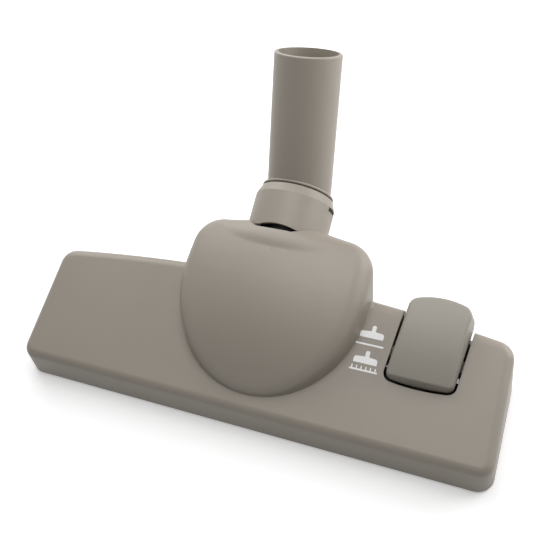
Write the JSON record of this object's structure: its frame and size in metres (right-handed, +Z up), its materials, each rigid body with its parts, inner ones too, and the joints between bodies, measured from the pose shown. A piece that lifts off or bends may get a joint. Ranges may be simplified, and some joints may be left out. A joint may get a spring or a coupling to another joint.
{
  "type": "vacuum floor head",
  "caption": "Wide low floor head for a vacuum cleaner, with a tilting neck, a swivel tube and a rocking pedal that lowers its brushes.",
  "frame": {"origin": "on the floor plane at mid-width, on the sole just behind the suction channel", "axes": "+X along the head towards the end that carries the pedal, +Y to the rear where the tube leaves, +Z up"},
  "size_m": [0.272, 0.1801, 0.1329],
  "materials": {
    "casing": "warm grey moulded plastic, satin",
    "frame": "black moulded plastic",
    "sole": "bright pressed steel plate",
    "mechanism": "pale acetal plastic",
    "pedal": "warm grey moulded plastic, satin",
    "steel": "plain steel",
    "bristle": "black nylon bristle",
    "lint": "red one-way pile",
    "tyre": "soft black wheel tread"
  },
  "bodies": {
    "shell": {"upper_housing": "casing", "base_frame": "frame", "duct_cover": "frame", "sole_plate": "sole", "pedal_axle": "steel", "detent_spring": "steel", "lint_strip_front_left": "lint", "lint_strip_front_right": "lint", "lint_strip_rear_left": "lint", "lint_strip_rear_right": "lint", "wheel_axle_left": "steel", "wheel_axle_right": "steel", "housing_screws": "steel"},
    "neck": {"neck_duct": "frame", "neck_collar": "casing", "tube_clip": "frame"},
    "tube": {"swivel_tube": "casing"},
    "rocker": {"pedal": "pedal"},
    "shaft": {"lift_shaft": "mechanism"},
    "brushes": {"brush_carrier": "mechanism", "front_brush": "bristle", "rear_brush": "bristle"},
    "left_wheel": {"wheel_left": "tyre"},
    "right_wheel": {"wheel_right": "tyre"}
  },
  "joints": [
    {"name": "neck_tilt", "type": "hinge", "parent": "shell", "child": "neck", "pos_m": [0, 0.028, 0.0387], "axis": [1, 0, 0], "range_deg": [-28, 3]},
    {"name": "tube_swivel", "type": "hinge", "parent": "neck", "child": "tube", "pos_m": [0, 0.07123, 0.05714], "axis": [0, 0.9198, 0.3923], "continuous": true},
    {"name": "pedal_rock", "type": "hinge", "parent": "shell", "child": "rocker", "pos_m": [0.0915, 0.002, 0.03], "axis": [1, 0, 0], "range_deg": [-18, 0]},
    {"name": "shaft_turn", "type": "hinge", "parent": "shell", "child": "shaft", "pos_m": [0, -0.0295, 0.0135], "axis": [1, 0, 0], "range_deg": [0, 38]},
    {"name": "brush_lift", "type": "slide", "parent": "shell", "child": "brushes", "axis": [0, 0, 1], "range_m": [-0.0065, 0]},
    {"name": "wheel_left_spin", "type": "hinge", "parent": "shell", "child": "left_wheel", "pos_m": [-0.038, 0.03, 0.0091], "axis": [1, 0, 0], "continuous": true},
    {"name": "wheel_right_spin", "type": "hinge", "parent": "shell", "child": "right_wheel", "pos_m": [0.038, 0.03, 0.0091], "axis": [1, 0, 0], "continuous": true}
  ],
  "couplings": [
    {"joint": "shaft_turn", "follows": "pedal_rock", "ratio": -2.1111},
    {"joint": "brush_lift", "follows": "pedal_rock", "m_per_rad": 0.02069}
  ]
}
